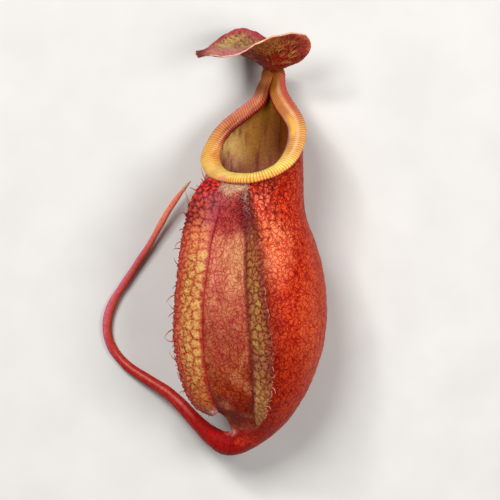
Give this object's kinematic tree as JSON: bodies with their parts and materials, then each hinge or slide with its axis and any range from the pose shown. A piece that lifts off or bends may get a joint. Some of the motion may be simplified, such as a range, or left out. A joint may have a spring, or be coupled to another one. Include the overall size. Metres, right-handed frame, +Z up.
{
  "type": "hanging pitcher plant",
  "caption": "Picked pitcher of a tropical pitcher plant: a hollow cup with a ribbed lip, a twisted lid, fringed wings and its tendril, lying on its back.",
  "frame": {"origin": "centre of the small flat spot under the cup that the pitcher rests on", "axes": "+Y from the foot of the cup to its lid, +Z up from the surface through the front of the cup, +X to the right of someone who looks down on the front with the lid at the top"},
  "size_m": [0.0587, 0.1115, 0.0435],
  "materials": {
    "cup": "satin, net veined, finely hairy",
    "lip": "waxy gloss, ribbed",
    "lid": "satin, speckled",
    "wing": "satin, net veined",
    "stalk": "satin, finely hairy"
  },
  "bodies": {
    "root": {"cup": "cup", "lip": "lip", "lid": "lid", "spur": "stalk", "wing_left": "wing", "wing_right": "wing", "tendril": "stalk"}
  },
  "joints": []
}
